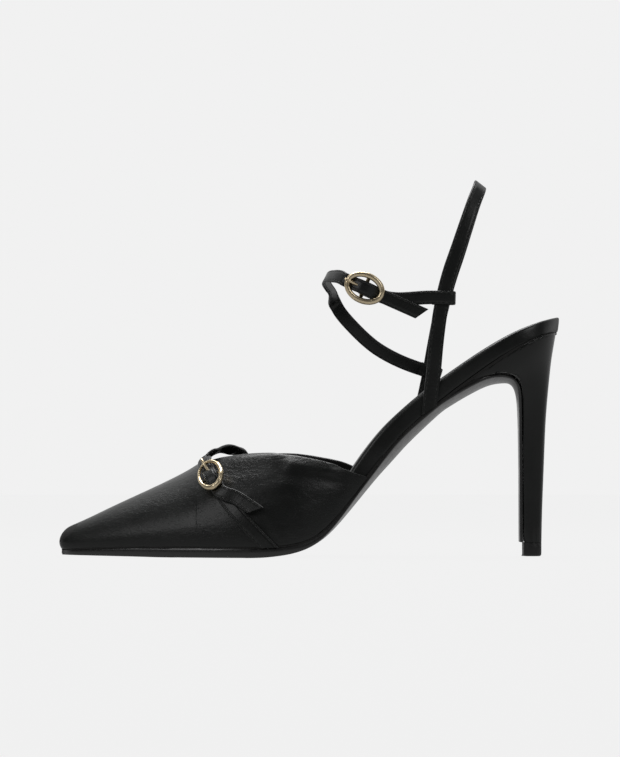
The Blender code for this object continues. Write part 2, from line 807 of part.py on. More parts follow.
def buckle_frame(centre, ahead, outward):
    """Frame of a buckle: X along its strap toward the free end, Z out from the shoe."""
    outward = (outward - ahead * outward.dot(ahead)).normalized()
    across = outward.cross(ahead)
    frame = Matrix((ahead, across, outward)).transposed().to_4x4()
    frame.translation = centre
    return frame


REACH = (BUCKLE_LENGTH - BUCKLE_STOCK) / 2
UNDER_RING = -(BUCKLE_STOCK / 2 + FIT_GAP + STRAP_THICKNESS / 2)
BAR_TURN = BUCKLE_BAR / 2 + FIT_GAP + STRAP_THICKNESS / 2
BAR_LEVEL = STRAP_CREST - BAR_TURN - STRAP_THICKNESS - FIT_GAP
ANCHOR_LEVEL = BAR_LEVEL - BAR_TURN
STAND_OFF = STRAP_THICKNESS / 2 + FIT_GAP


def through_buckle(frame):
    """Rows of the free strap: under the ring's near side, over the bar and under its far side."""
    across = frame.to_3x3() @ Vector((0, 1, 0))
    rows = []
    for reach, crest in (
        (-1.20, 0), (-1.00, 0), (-0.83, 0.04), (-0.65, 0.23), (-0.47, 0.50), (-0.24, 0.87),
        (0, 1), (0.24, 0.97), (0.40, 0.80), (0.59, 0.45), (0.77, 0.12), (1.00, 0), (1.20, 0),
    ):
        level = UNDER_RING + (STRAP_CREST - UNDER_RING) * crest
        rows.append((frame @ Vector((reach * REACH, 0, level)), across))
    return rows


def round_the_bar(frame):
    """Rows of the anchor strap: its end folded over the bar, then out below the free strap."""
    across = frame.to_3x3() @ Vector((0, -1, 0))
    turn = BAR_TURN
    rows = [(frame @ Vector((2.2 * turn, 0, BAR_LEVEL + 0.5 * turn)), across)]
    rows.append((frame @ Vector((1.1 * turn, 0, BAR_LEVEL + 0.88 * turn)), across))
    for degrees in (90, 120, 150, 180, 210, 240, 270):
        angle = math.radians(degrees)
        place = Vector((turn * math.cos(angle), 0, BAR_LEVEL + turn * math.sin(angle)))
        rows.append((frame @ place, across))
    rows.append((frame @ Vector((0.5 * REACH, 0, ANCHOR_LEVEL)), across))
    rows.append((frame @ Vector((1.0 * REACH, 0, ANCHOR_LEVEL)), across))
    return rows


def tube_mesh(name, points, stock, cyclic, resolution):
    """Mesh of a round wire on one smooth curve through its points."""
    data = bpy.data.curves.new(name, "CURVE")
    data.dimensions = "3D"
    data.bevel_depth = stock / 2
    data.bevel_resolution = 2
    data.resolution_u = resolution
    data.use_fill_caps = not cyclic
    spline = data.splines.new("BEZIER")
    spline.bezier_points.add(len(points) - 1)
    for point, place in zip(spline.bezier_points, points):
        point.co = place
        point.handle_left_type = point.handle_right_type = "AUTO"
    spline.use_cyclic_u = cyclic
    made = bpy.data.objects.new(name, data)
    bpy.context.scene.collection.objects.link(made)
    bpy.context.view_layer.update()
    mesh = bpy.data.meshes.new_from_object(made.evaluated_get(bpy.context.evaluated_depsgraph_get()))
    bpy.data.objects.remove(made, do_unlink=True)
    build = bmesh.new()
    build.from_mesh(mesh)
    bpy.data.meshes.remove(mesh)
    return mesh_from(build, name)


def buckle(name, frame, material, collection, cutters):
    """Oval ring with a dipped bar across its middle."""
    side = (BUCKLE_WIDTH - BUCKLE_STOCK) / 2
    ring = []
    for i in range(12):
        angle = math.tau * i / 12
        ring.append((REACH * math.cos(angle), side * math.sin(angle), 0))
    made = new_object(name, tube_mesh(name, ring, BUCKLE_STOCK, True, 2), material, collection)
    made.matrix_world = frame
    leg = side - BUCKLE_STOCK / 2 - 0.0002
    bar = []
    for across, drop in ((-side, 0), (-leg, 0.55), (0.0010 - leg, 1), (0.0025 - leg, 1), (0, 1)):
        bar.append((0, across, drop * BAR_LEVEL))
    bar += [(0, -across, level) for _, across, level in reversed(bar[:-1])]
    bar_object = bpy.data.objects.new(name + "_bar", tube_mesh(name + "_bar", bar, BUCKLE_BAR, False, 2))
    bar_object.matrix_world = frame
    bar_object.hide_render = True
    bar_object.display_type = "WIRE"
    cutters.objects.link(bar_object)
    cut(made, bar_object, "UNION")
    return made


def prong_route():
    """Prong in the buckle's frame: an eye round the bar, then up through the strap and over the ring."""
    eye = BUCKLE_BAR / 2 + FIT_GAP + PRONG_STOCK / 2
    route = []
    for degrees in (110, 50, -10, -70, -130, -175):
        angle = math.radians(degrees)
        route.append((eye * math.cos(angle), 0, BAR_LEVEL + eye * math.sin(angle)))
    over = BUCKLE_STOCK / 2 + FIT_GAP + PRONG_STOCK / 2
    rows = ((-0.24, 0.22), (-0.37, 0.42), (-0.52, 0.63), (-0.74, 0.89), (-1.0, 1.04), (-1.17, 1.0))
    for reach, climb in rows:
        route.append((reach * REACH, 0, BAR_LEVEL + (over - BAR_LEVEL) * climb))
    return route


def prong(name, frame, material, collection):
    made = new_object(name, tube_mesh(name, prong_route(), PRONG_STOCK, False, 2), material, collection)
    made.matrix_world = frame
    return made


def box_cutter(name, frame, low, high, collection):
    """Cutter: a box between two corners in a buckle's frame."""
    build = bmesh.new()
    bmesh.ops.create_cube(build, size=1.0)
    for vert in build.verts:
        vert.co = Vector([(a + b) / 2 + c * (b - a) for a, b, c in zip(low, high, vert.co)])
    made = bpy.data.objects.new(name, mesh_from(build, name))
    made.matrix_world = frame
    made.hide_render = True
    made.display_type = "WIRE"
    collection.objects.link(made)
    return made


def open_for_prong(free, anchor, frame, cutters, label):
    """Hole in the free strap and slot in the anchor's fold, where the prong passes."""
    half = PRONG_STOCK / 2 + FIT_GAP
    hole = (-0.62 * REACH, -half, UNDER_RING), (-0.26 * REACH, half, STRAP_CREST + STRAP_THICKNESS)
    cut(free, box_cutter(label + "_hole", frame, *hole, cutters), "DIFFERENCE")
    slot_end = BUCKLE_BAR / 2 + 2 * FIT_GAP + PRONG_STOCK
    slot = (-2 * BAR_TURN, -half, BAR_LEVEL - 2 * BAR_TURN), (slot_end, half, BAR_LEVEL + 2 * BAR_TURN)
    cut(anchor, box_cutter(label + "_slot", frame, *slot, cutters), "DIFFERENCE")


def surface_row(along, climb, side, stand_off, across_hint):
    place, normal = on_upper(along, climb * TOPLINE_HEIGHT, side, stand_off)
    return place, across_hint - normal * across_hint.dot(normal)


def vamp_straps(leather, gold, collection, cutters):
    """Strap from the sole's inner side over the throat to a buckle, and its anchor on the outer side."""
    stand = ANCHOR_LEVEL - STAND_OFF
    centre, normal = on_upper(VAMP_BUCKLE_ALONG, VAMP_BUCKLE_CLIMB * TOPLINE_HEIGHT, LATERAL, -stand)
    toward, _ = on_upper(VAMP_BUCKLE_TOWARD[0], VAMP_BUCKLE_TOWARD[1] * TOPLINE_HEIGHT, LATERAL, -stand)
    ahead = toward - centre
    ahead = (ahead - normal * ahead.dot(normal)).normalized()
    frame = buckle_frame(centre, ahead, normal)
    back = Vector((1, 0, 0))
    free = []
    for along, climb, lift in VAMP_STRAP_INNER:
        free.append(surface_row(along, climb, MEDIAL, lift * STAND_OFF, back))
    for along, climb, spread, turn in THROAT_ARCH:
        angle = math.radians(turn)
        place = Vector((along * LAST_LENGTH, spread * BALL_WIDTH, climb * THROAT_ARCH_HEIGHT))
        free.append((place, Vector((math.cos(angle), 0, math.sin(angle)))))
    free += [(place, -across) for place, across in through_buckle(frame)]
    tail = STAND_OFF + STRAP_THICKNESS + FIT_GAP
    for along, climb in VAMP_TAIL:
        free.append(surface_row(along, climb, LATERAL, 1.25 * tail, free[-1][1]))
    made = strap("vamp_strap", free, VAMP_STRAP_WIDTH, leather, collection, (-0.2, -0.76))
    lower = round_the_bar(frame)
    for along, climb in VAMP_STRAP_OUTER:
        lower.append(surface_row(along, climb, LATERAL, STAND_OFF, lower[-1][1]))
    anchor = strap("vamp_strap_anchor", lower, VAMP_STRAP_WIDTH, leather, collection, (0, -0.95))
    open_for_prong(made, anchor, frame, cutters, "vamp")
    ring = buckle("vamp_buckle", frame, gold, collection, cutters)
    pin = prong("vamp_prong", frame, gold, collection)
    return [made, anchor, ring, pin]


SLING_FOOT_ALONG = SLING_LEG[0][0]
sling_along = column([(row[1], row[0]) for row in SLING_LEG], 1)
sling_spread = column([(row[1], row[2]) for row in SLING_LEG], 1)
sling_turn = column([(row[1], row[3]) for row in SLING_LEG], 1)


def sling_climb(climb):
    """Height at this share of the climb from the rim to the top of the sling."""
    foot = seat_height(SLING_FOOT_ALONG)
    return foot + climb * (SLING_HEIGHT - STRAP_THICKNESS / 2 - foot)


def sling_side(side):
    return half_width[side](SLING_FOOT_ALONG + 1.6 * SLING_WIDTH / LAST_LENGTH) + STAND_OFF


def sling_point(climb, side):
    """Middle of a leg of the sling at this share of its climb. The inner leg starts ahead and leans back."""
    lean = 0
    if side == MEDIAL:
        lean = SLING_LEAN * math.sin(math.pi * climb) - SLING_LEAD * (1 - climb) ** 2
    slope = seat_tangent(SLING_FOOT_ALONG)
    x = sling_along(climb) * LAST_LENGTH + lean
    z = sling_climb(climb) + min(lean, 0) * slope.z / slope.x
    return Vector((x, side * sling_side(side) * sling_spread(climb), z))


def sling_strap(leather, collection):
    """Loop from the rim on one side, up behind the ankle and down to the other."""
    rows = []
    climbs = [row[1] for row in SLING_LEG]
    legs = [(climb, LATERAL) for climb in climbs] + [(climb, MEDIAL) for climb in reversed(climbs[:-1])]
    for climb, side in legs:
        angle = math.radians(sling_turn(climb))
        rows.append((sling_point(climb, side), Vector((math.cos(angle), 0, -math.sin(angle)))))
    slope = seat_tangent(SLING_FOOT_ALONG)
    slant = slope.z / slope.x
    return strap("sling_strap", rows, SLING_WIDTH, leather, collection, (slant, -slant))


def round_the_leg(climb, side, run):
    """Rows of a strap that comes along the leg's inner face, turns behind it and leaves along the outer."""
    leg = sling_point(climb, side)
    out = Vector((0, side, 0))
    turn = STRAP_THICKNESS + FIT_GAP
    angle = math.radians(sling_turn(climb))
    lined_up = run.dot(Vector((math.cos(angle), 0, -math.sin(angle))))
    rear = SLING_WIDTH / (2 * lined_up) + FIT_GAP
    rows = []
    for reach, shift in ((-rear - 0.0012, -1), (0.0, -1)):
        rows.append(leg + run * reach + out * shift * turn)
    for degrees in (-90, -45, 0, 45, 90):
        angle = math.radians(degrees)
        rows.append(leg + run * (rear + turn * math.cos(angle)) + out * turn * math.sin(angle))
    rows.append(leg + out * turn)
    rows.append(leg - run * (rear + 0.0012) + out * turn)
    return rows


def ankle_place(along, climb, spread):
    return Vector((along * LAST_LENGTH, spread * sling_side(MEDIAL), sling_climb(climb)))


def ankle_straps(leather, gold, collection, cutters):
    """Strap from the sling's inner leg round the front to a buckle, and its anchor round the outer leg."""
    dip = math.radians(ANKLE_BUCKLE_DIP)
    centre = ankle_place(ANKLE_BUCKLE_ALONG, ANKLE_BUCKLE_CLIMB, ANKLE_BUCKLE_SPREAD)
    ahead = Vector((math.cos(dip), 0, -math.sin(dip)))
    frame = buckle_frame(centre, ahead, Vector((0, -1, 0)))
    start = ANKLE_ROUTE[0]
    run = sling_point(ANKLE_JOIN_INNER, MEDIAL) - ankle_place(start[0], start[1], start[2])
    run = Vector((run.x, 0, run.z)).normalized()
    free = [(place, Vector((-run.z, 0, run.x))) for place in round_the_leg(ANKLE_JOIN_INNER, MEDIAL, run)]
    for along, climb, spread, turn in ANKLE_ROUTE:
        angle = math.radians(turn)
        free.append((ankle_place(along, climb, spread), Vector((math.cos(angle), 0, math.sin(angle)))))
    up = frame.to_3x3() @ Vector((0, 1, 0))
    facing = 1 if up.z > 0 else -1
    free += [(place, across * facing) for place, across in through_buckle(frame)]
    free.append((frame @ Vector((ANKLE_BUCKLE_LENGTH_TO_TIP, 0, UNDER_RING)), up * facing))
    made = strap("ankle_strap", free, ANKLE_STRAP_WIDTH, leather, collection, (0, 0.6))
    lower = round_the_bar(frame)
    facing_lower = lower[-1][1]
    leg = sling_point(ANKLE_JOIN_OUTER, LATERAL)
    run = leg - lower[-1][0]
    run = Vector((run.x, 0, run.z)).normalized()
    level = Vector((-run.z, 0, run.x))
    level = level if level.dot(facing_lower) > 0 else -level
    outer = round_the_leg(ANKLE_JOIN_OUTER, LATERAL, run)
    for place in reversed(outer):
        lower.append((place, level))
    anchor = strap("ankle_strap_anchor", lower, ANKLE_STRAP_WIDTH, leather, collection)
    open_for_prong(made, anchor, frame, cutters, "ankle")
    ring = buckle("ankle_buckle", frame, gold, collection, cutters)
    pin = prong("ankle_prong", frame, gold, collection)
    return [made, anchor, ring, pin]


def finish(name, colour, roughness, metallic):
    material = bpy.data.materials.new(name)
    material.use_nodes = True
    shader = material.node_tree.nodes["Principled BSDF"]
    shader.inputs["Base Color"].default_value = (*colour, 1)
    shader.inputs["Roughness"].default_value = roughness
    shader.inputs["Metallic"].default_value = metallic
    return material


def stand(parts):
    """Parents the parts to an empty that puts the origin on the floor, below the middle of their box."""
    bpy.context.view_layer.update()
    graph = bpy.context.evaluated_depsgraph_get()
    corners = []
    for part in parts:
        evaluated = part.evaluated_get(graph)
        corners += [part.matrix_world @ vert.co for vert in evaluated.to_mesh().vertices]
        evaluated.to_mesh_clear()
    low = Vector([min(corner[axis] for corner in corners) for axis in range(3)])
    high = Vector([max(corner[axis] for corner in corners) for axis in range(3)])
    holder = bpy.data.objects.new("slingback_pump_origin", None)
    parts[0].users_collection[0].objects.link(holder)
    for item in bpy.data.objects:
        if item is not holder and item.parent is None:
            item.parent = holder
    holder.location = (-(low.x + high.x) / 2, -(low.y + high.y) / 2, -low.z)


def main():
    for old in list(bpy.data.objects):
        bpy.data.objects.remove(old, do_unlink=True)
    shoe = bpy.data.collections.new("slingback_pump")
    cutters = bpy.data.collections.new("cutters")
    bpy.context.scene.collection.children.link(shoe)
    bpy.context.scene.collection.children.link(cutters)
    calf = finish("black_calf", (0.012, 0.013, 0.013), 0.35, 0.0)
    sole_leather = finish("black_sole_leather", (0.02, 0.02, 0.02), 0.30, 0.0)
    tip_rubber = finish("heel_tip_rubber", (0.02, 0.02, 0.02), 0.6, 0.0)
    gold = finish("polished_gold", (0.80, 0.62, 0.34), 0.15, 1.0)
    parts = [
        outsole(sole_leather, shoe),
        insole(calf, shoe),
        upper(calf, shoe),
        heel(calf, shoe, cutters),
        top_piece(tip_rubber, shoe),
        sling_strap(calf, shoe),
        *vamp_straps(calf, gold, shoe, cutters),
        *ankle_straps(calf, gold, shoe, cutters),
    ]
    stand(parts)


main()
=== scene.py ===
import math

import bmesh
import bpy
from mathutils import Matrix, Vector


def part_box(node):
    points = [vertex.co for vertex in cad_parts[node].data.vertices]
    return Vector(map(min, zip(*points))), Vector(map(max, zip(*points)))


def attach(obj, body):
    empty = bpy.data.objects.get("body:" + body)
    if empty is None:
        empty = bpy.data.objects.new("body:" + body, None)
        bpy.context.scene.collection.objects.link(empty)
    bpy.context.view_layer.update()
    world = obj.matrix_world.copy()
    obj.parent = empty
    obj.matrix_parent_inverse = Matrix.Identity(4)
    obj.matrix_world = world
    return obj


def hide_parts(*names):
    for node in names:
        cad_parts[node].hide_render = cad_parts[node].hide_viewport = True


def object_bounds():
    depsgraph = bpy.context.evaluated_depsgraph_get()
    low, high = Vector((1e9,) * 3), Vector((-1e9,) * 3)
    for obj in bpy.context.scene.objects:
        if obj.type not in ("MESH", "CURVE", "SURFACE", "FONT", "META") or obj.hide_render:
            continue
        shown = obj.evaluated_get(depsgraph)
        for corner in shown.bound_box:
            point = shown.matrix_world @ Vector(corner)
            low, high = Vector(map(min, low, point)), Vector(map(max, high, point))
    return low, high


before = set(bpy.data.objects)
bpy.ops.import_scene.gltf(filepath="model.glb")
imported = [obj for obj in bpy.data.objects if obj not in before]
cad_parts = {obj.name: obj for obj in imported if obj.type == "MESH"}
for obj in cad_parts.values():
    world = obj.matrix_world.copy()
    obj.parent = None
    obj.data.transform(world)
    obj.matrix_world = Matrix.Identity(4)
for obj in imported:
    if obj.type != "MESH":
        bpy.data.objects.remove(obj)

cad_box = [list(corner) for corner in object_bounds()]

# Upper. The pointed vamp and its two wings are one black calf, pulled over the last with its lining, and its lower
# margin is turned under and cemented to the sole. Its topline is folded over, which leaves a soft ridge and trough.


def linear(hex_code):
    """Linear colour of an sRGB hex value."""
    shares = [int(hex_code[i:i + 2], 16) / 255 for i in (1, 3, 5)]
    return tuple(s / 12.92 if s <= 0.04045 else ((s + 0.055) / 1.055) ** 2.4 for s in shares) + (1.0,)


def add(tree, kind, sockets=None, **settings):
    """Shader node with its settings, each named socket set to a value or linked from another node's output."""
    made = tree.nodes.new(kind)
    for name, value in settings.items():
        setattr(made, name, value)
    for name, value in (sockets or {}).items():
        if isinstance(value, bpy.types.NodeSocket):
            tree.links.new(value, made.inputs[name])
        else:
            made.inputs[name].default_value = value
    return made


def finish(name, **sockets):
    """Material with one Principled shader; underscores in the socket names stand for spaces."""
    material = bpy.data.materials.new(name)
    material.use_nodes = True
    tree = material.node_tree
    tree.nodes.clear()
    named = {key.replace("_", " "): value for key, value in sockets.items()}
    shader = add(tree, "ShaderNodeBsdfPrincipled", named)
    add(tree, "ShaderNodeOutputMaterial", {"Surface": shader.outputs[0]})
    return material, tree, shader


MM = 0.001
MERGE = 0.01 * MM
# Two triangles make a quad where they bend by no more than 35 degrees and its corners are within 60 of square. An
# edge that bends by more than 50 is an edge of the real piece, and keeps its crease.
FLAT_BEND, SKEW, REAL_EDGE = math.radians(35), math.radians(60), math.radians(50)


def quads_of(node):
    """Copy of a CAD node's mesh, its loose triangles merged and joined into quads."""
    shape = bmesh.new()
    shape.from_mesh(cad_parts[node].data)
    bmesh.ops.remove_doubles(shape, verts=shape.verts, dist=MERGE)
    bmesh.ops.join_triangles(
        shape, faces=shape.faces, angle_face_threshold=FLAT_BEND, angle_shape_threshold=SKEW
    )
    return shape


def rounded(shape, levels, firm=0.0):
    """The shape as a subdivided surface, its sharp edges held by a firm crease."""
    crease = shape.edges.layers.float.new("crease_edge")
    for edge in shape.edges:
        if edge.is_manifold and edge.calc_face_angle() > REAL_EDGE:
            edge[crease] = firm
    mesh = bpy.data.meshes.new("rounding")
    shape.to_mesh(mesh)
    shape.free()
    holder = bpy.data.objects.new("rounding", mesh)
    bpy.context.scene.collection.objects.link(holder)
    surface = holder.modifiers.new("surface", "SUBSURF")
    surface.levels = surface.render_levels = levels
    smooth = bmesh.new()
    smooth.from_object(holder, bpy.context.evaluated_depsgraph_get())
    bpy.data.objects.remove(holder)
    smooth.normal_update()
    return smooth


def piece(name, shape, finishes, slot, *nodes, sharp=60):
    """The finished piece, riding on the shoe and standing for the CAD nodes named.

    Edges that bend by more than sharp degrees stay crisp.
    """
    mesh = bpy.data.meshes.new(name)
    shape.to_mesh(mesh)
    shape.free()
    for material in finishes:
        mesh.materials.append(material)
    mesh.shade_smooth()
    mesh.set_sharp_from_angle(angle=math.radians(sharp))
    made = bpy.data.objects.new(name, mesh)
    bpy.context.scene.collection.objects.link(made)
    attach(made, "root")
    if nodes:
        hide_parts(*nodes)
    return made


# Smooth calf, drum dyed black and glazed: even and close, with pores under 0.2 mm, drawn here at 0.7 mm so that
# they show, and a soft gloss that breaks up where the skin was stretched or bent. Its dye clouds over about 14 mm.
PORE, PORE_DEPTH, FOLD_DEPTH = 0.7 * MM, 0.1 * MM, 0.4 * MM
DYE_CLOUDS_PER_METRE = 70.0


def calf_finish(name, fine_folds, along="object"):
    """Glazed calf: fine_folds is the strength of its folds, which run with the object or along a strap."""
    material, tree, shader = finish(
        name, IOR=1.5, Specular_IOR_Level=0.36, Coat_Weight=0.20, Coat_Roughness=0.20, Coat_IOR=1.45
    )
    if along == "object":
        place = add(tree, "ShaderNodeTexCoord").outputs["Object"]
    else:
        run = add(tree, "ShaderNodeAttribute", attribute_name="run")
        across = add(tree, "ShaderNodeAttribute", attribute_name="across")
        flat = add(tree, "ShaderNodeCombineXYZ", {"X": run.outputs["Fac"], "Y": across.outputs["Fac"]})
        place = flat.outputs[0]
    cloud = add(
        tree, "ShaderNodeTexNoise",
        {"Vector": place, "Scale": DYE_CLOUDS_PER_METRE, "Detail": 4.0, "Roughness": 0.55},
    )
    tone = add(tree, "ShaderNodeValToRGB", {"Fac": cloud.outputs["Fac"]})
    tone.color_ramp.elements[0].position = 0.35
    tone.color_ramp.elements[0].color = linear("#0e100f")
    tone.color_ramp.elements[1].position = 0.70
    tone.color_ramp.elements[1].color = linear("#161817")
    tree.links.new(tone.outputs["Color"], shader.inputs["Base Color"])
    gloss = add(
        tree, "ShaderNodeMapRange",
        {"Value": cloud.outputs["Fac"], "From Min": 0.3, "From Max": 0.7, "To Min": 0.34, "To Max": 0.44},
    )
    tree.links.new(gloss.outputs["Result"], shader.inputs["Roughness"])
    pores = add(tree, "ShaderNodeTexVoronoi", {"Vector": place, "Scale": 1 / PORE})
    skin = add(
        tree, "ShaderNodeBump", {"Height": pores.outputs["Distance"], "Strength": 0.10, "Distance": PORE_DEPTH}
    )
    # Folds to the metre: on the shoe 1.6 to 4 mm apart, and on a strap 1.1 mm apart, straight across it.
    folds_per_metre = (260, 420, 620) if along == "object" else (900, 160, 1)
    turned = add(tree, "ShaderNodeMapping", {"Vector": place, "Rotation": (0, 0.5, 0), "Scale": folds_per_metre})
    wrinkle = add(
        tree, "ShaderNodeTexNoise", {"Vector": turned.outputs[0], "Scale": 1.0, "Detail": 3.0, "Roughness": 0.6}
    )
    ridged = add(
        tree, "ShaderNodeMapRange",
        {"Value": wrinkle.outputs["Fac"], "From Min": 0.44, "From Max": 0.62, "To Min": 0.0, "To Max": 1.0},
        interpolation_type="SMOOTHSTEP",
    )
    folds = add(
        tree, "ShaderNodeBump",
        {
            "Height": ridged.outputs["Result"], "Strength": fine_folds, "Distance": FOLD_DEPTH,
            "Normal": skin.outputs[0],
        },
    )
    tree.links.new(folds.outputs[0], shader.inputs["Normal"])
    return material


vamp_calf = calf_finish("glazed_calf", 0.15)

# Kid lining, unglazed and close: black like the calf, but with no coat, so it stays flat in the light. Its nap shows
# in patches of about 2 mm.
kid_lining, lining_tree, lining_shader = finish("kid_lining", Specular_IOR_Level=0.3, Roughness=0.62)
lining_place = add(lining_tree, "ShaderNodeTexCoord")
lining_cloud = add(
    lining_tree, "ShaderNodeTexNoise",
    {"Vector": lining_place.outputs["Object"], "Scale": 1 / (2 * MM), "Detail": 3.0},
)
lining_tone = add(lining_tree, "ShaderNodeValToRGB", {"Fac": lining_cloud.outputs["Fac"]})
lining_tone.color_ramp.elements[0].color = linear("#1a1a1a")
lining_tone.color_ramp.elements[1].color = linear("#2b2a29")
lining_tree.links.new(lining_tone.outputs["Color"], lining_shader.inputs["Base Color"])
lining_nap = add(
    lining_tree, "ShaderNodeBump", {"Height": lining_cloud.outputs["Fac"], "Strength": 0.2, "Distance": 0.2 * MM}
)
lining_tree.links.new(lining_nap.outputs[0], lining_shader.inputs["Normal"])

LATERAL, MEDIAL = -1, 1
# Troughs in the calf, and ridges where the depth is negative, in millimetres of the shoe: side, ends (along, up),
# depth and half width. Each has a low bank on both sides, a quarter as high, 2.2 half widths from its middle.
UPPER_TROUGHS = (
    (LATERAL, (-40, 45.2), (-16, 46.6), -0.36, 3.0),
    (LATERAL, (-40, 38.0), (-15, 39.8), 0.16, 3.6),
    (LATERAL, (-8, 42.6), (11, 40.2), -0.70, 2.4),
    (LATERAL, (-12, 38.0), (16, 34.6), 0.16, 2.4),
    (LATERAL, (-30, 33), (-14, 36), 0.14, 1.6),
    (LATERAL, (-26, 26), (-8, 30), 0.16, 1.8),
    (LATERAL, (-12, 21), (4, 27), 0.12, 1.6),
    (LATERAL, (-20, 15), (-16, 9), 0.12, 1.4),
    (LATERAL, (-12, 16), (-9, 9), 0.12, 1.4),
    (MEDIAL, (-20, 44.8), (-2, 44.0), 0.30, 2.2),
    (MEDIAL, (-2, 44.0), (12, 41.6), 0.34, 2.0),
    (MEDIAL, (12, 41.6), (24, 37.0), 0.28, 1.8),
    (MEDIAL, (-28, 30), (-10, 34), 0.16, 1.8),
    (MEDIAL, (-20, 22), (-2, 27), 0.14, 1.8),
)
BANK_SHARE, BANK_PLACE = 0.25, 2.2

# Least upright share of the normal of a face that counts as level.
LEVEL_ENOUGH = 0.45


def turned_under(node, way, start, end, inset, depth):
    """Margin of leather between two layers, made from a node's faces.

    They look up or down as way is 1 or -1, lie from start to end along the shoe, and are drawn in and made thick.
    """
    shape = quads_of(node)
    away = [
        face for face in shape.faces
        if face.normal.z * way < LEVEL_ENOUGH or not start < face.calc_center_median().x < end
    ]
    bmesh.ops.delete(shape, geom=away, context="FACES")
    border = bmesh.ops.inset_region(shape, faces=shape.faces, thickness=inset, use_even_offset=True)
    bmesh.ops.delete(shape, geom=border["faces"], context="FACES")
    grown = bmesh.ops.extrude_face_region(shape, geom=shape.faces, use_keep_orig=True)["geom"]
    moved = [item for item in grown if isinstance(item, bmesh.types.BMVert)]
    bmesh.ops.translate(shape, verts=moved, vec=(0, 0, way * depth))
    bmesh.ops.recalc_face_normals(shape, faces=shape.faces)
    return shape


shape = rounded(quads_of("upper"), 2, firm=0.25)
low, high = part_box("upper")
FOOT_CENTRE_HEIGHT = 15 * MM
foot_centre = Vector((0, (low.y + high.y) / 2, FOOT_CENTRE_HEIGHT))
CALF, LINING = 0, 1
# Faces that look in toward the middle of the foot are lining.
for face in shape.faces:
    reach = face.calc_center_median() - foot_centre
    reach.x = 0
    face.material_index = LINING if face.normal.dot(reach) < 0 else CALF
for vert in shape.verts:
    if any(face.material_index == LINING for face in vert.link_faces):
        continue
    side = LATERAL if vert.co.y < 0 else MEDIAL
    sink = 0.0
    for trough_side, start, end, depth, half in UPPER_TROUGHS:
        if trough_side != side:
            continue
        a, b = Vector(start) * MM, Vector(end) * MM
        place = Vector((vert.co.x, vert.co.z))
        share = min(max((place - a).dot(b - a) / (b - a).length_squared, 0), 1)
        away = (place - a.lerp(b, share)).length / (half * MM)
        sink += depth * MM * (math.exp(-away * away) - BANK_SHARE * math.exp(-(away - BANK_PLACE) ** 2))
    vert.co -= vert.normal * sink
piece("upper_calf", shape, [vamp_calf, kid_lining], "calf", "upper")

# Margin of the upper turned in over the sole, from the toe to the wings' ends, and the filler leather behind it that
# packs the waist up to the heel's lip.
TOE_TIP, WING_END, BREAST = cad_box[0][0], 27 * MM, 85 * MM
margin = turned_under("outsole", 1, TOE_TIP, WING_END, inset=1.3 * MM, depth=0.7 * MM)
piece("lasting_margin", margin, [kid_lining], "calf")
margin = turned_under("outsole", 1, WING_END, BREAST, inset=1.3 * MM, depth=1.7 * MM)
piece("waist_filler", margin, [kid_lining], "calf")

# Footbed. Board and cork with a thin cushion, wrapped in the same calf, whose rounded rim shows from the waist
# back. The cover is turned under the board and cemented there, on the sole and the heel.

shape = rounded(quads_of("insole"), 2, firm=0.2)
# The padded rim stands upright at the seat's back: its top is drawn back and a little up, its foot stays.
SEAT_TURN, RIM_RISE, SEAT_END = 103 * MM, 7 * MM, 110 * MM
DRAWN_BACK, DRAWN_UP = 0.25, 0.12
seat_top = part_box("insole")[1].z
for vert in shape.verts:
    reach = max(vert.co.x - SEAT_TURN, 0)
    high = min(max(1 - (seat_top - vert.co.z) / RIM_RISE, 0), 1)
    vert.co.x += DRAWN_BACK * reach * high
    vert.co.z += DRAWN_UP * reach * high


def smoothed(shape, verts, passes):
    """Smooths some of a shape's points over their neighbours."""
    for _ in range(passes):
        bmesh.ops.smooth_vert(shape, verts=verts, factor=0.5, use_axis_x=True, use_axis_y=True, use_axis_z=True)


smoothed(shape, [vert for vert in shape.verts if vert.co.x > SEAT_END], passes=5)
piece("footbed", shape, [calf_finish("rim_calf", 0.05)], "calf", "insole")
margin = turned_under("insole", -1, WING_END, cad_box[1][0], inset=1.2 * MM, depth=1.1 * MM)
piece("rim_margin", margin, [kid_lining], "calf")

# Outsole. Firm leather, skived thin at the waist and dyed black. Its edge and waist are waxed and burnished to a
# high gloss, and the tread is left plain. The waist is turned convex and its flap runs down the heel breast.

# Burnished sole leather: a wax film over black dye, glossy, with the grain still showing through at 2.5 mm.
sole_polish, polish_tree, polish_shader = finish(
    "burnished_sole_leather", Base_Color=linear("#1b1b1b"), IOR=1.5, Coat_Weight=0.55, Coat_Roughness=0.16
)
polish_place = add(polish_tree, "ShaderNodeTexCoord")
polish_grain = add(
    polish_tree, "ShaderNodeTexNoise",
    {"Vector": polish_place.outputs["Object"], "Scale": 1 / (2.5 * MM), "Detail": 3.0},
)
polish_rough = add(
    polish_tree, "ShaderNodeMapRange",
    {"Value": polish_grain.outputs["Fac"], "From Min": 0.3, "From Max": 0.7, "To Min": 0.24, "To Max": 0.40},
)
polish_tree.links.new(polish_rough.outputs["Result"], polish_shader.inputs["Roughness"])
polish_bump = add(
    polish_tree, "ShaderNodeBump", {"Height": polish_grain.outputs["Fac"], "Strength": 0.08, "Distance": 0.2 * MM}
)
polish_tree.links.new(polish_bump.outputs[0], polish_shader.inputs["Normal"])

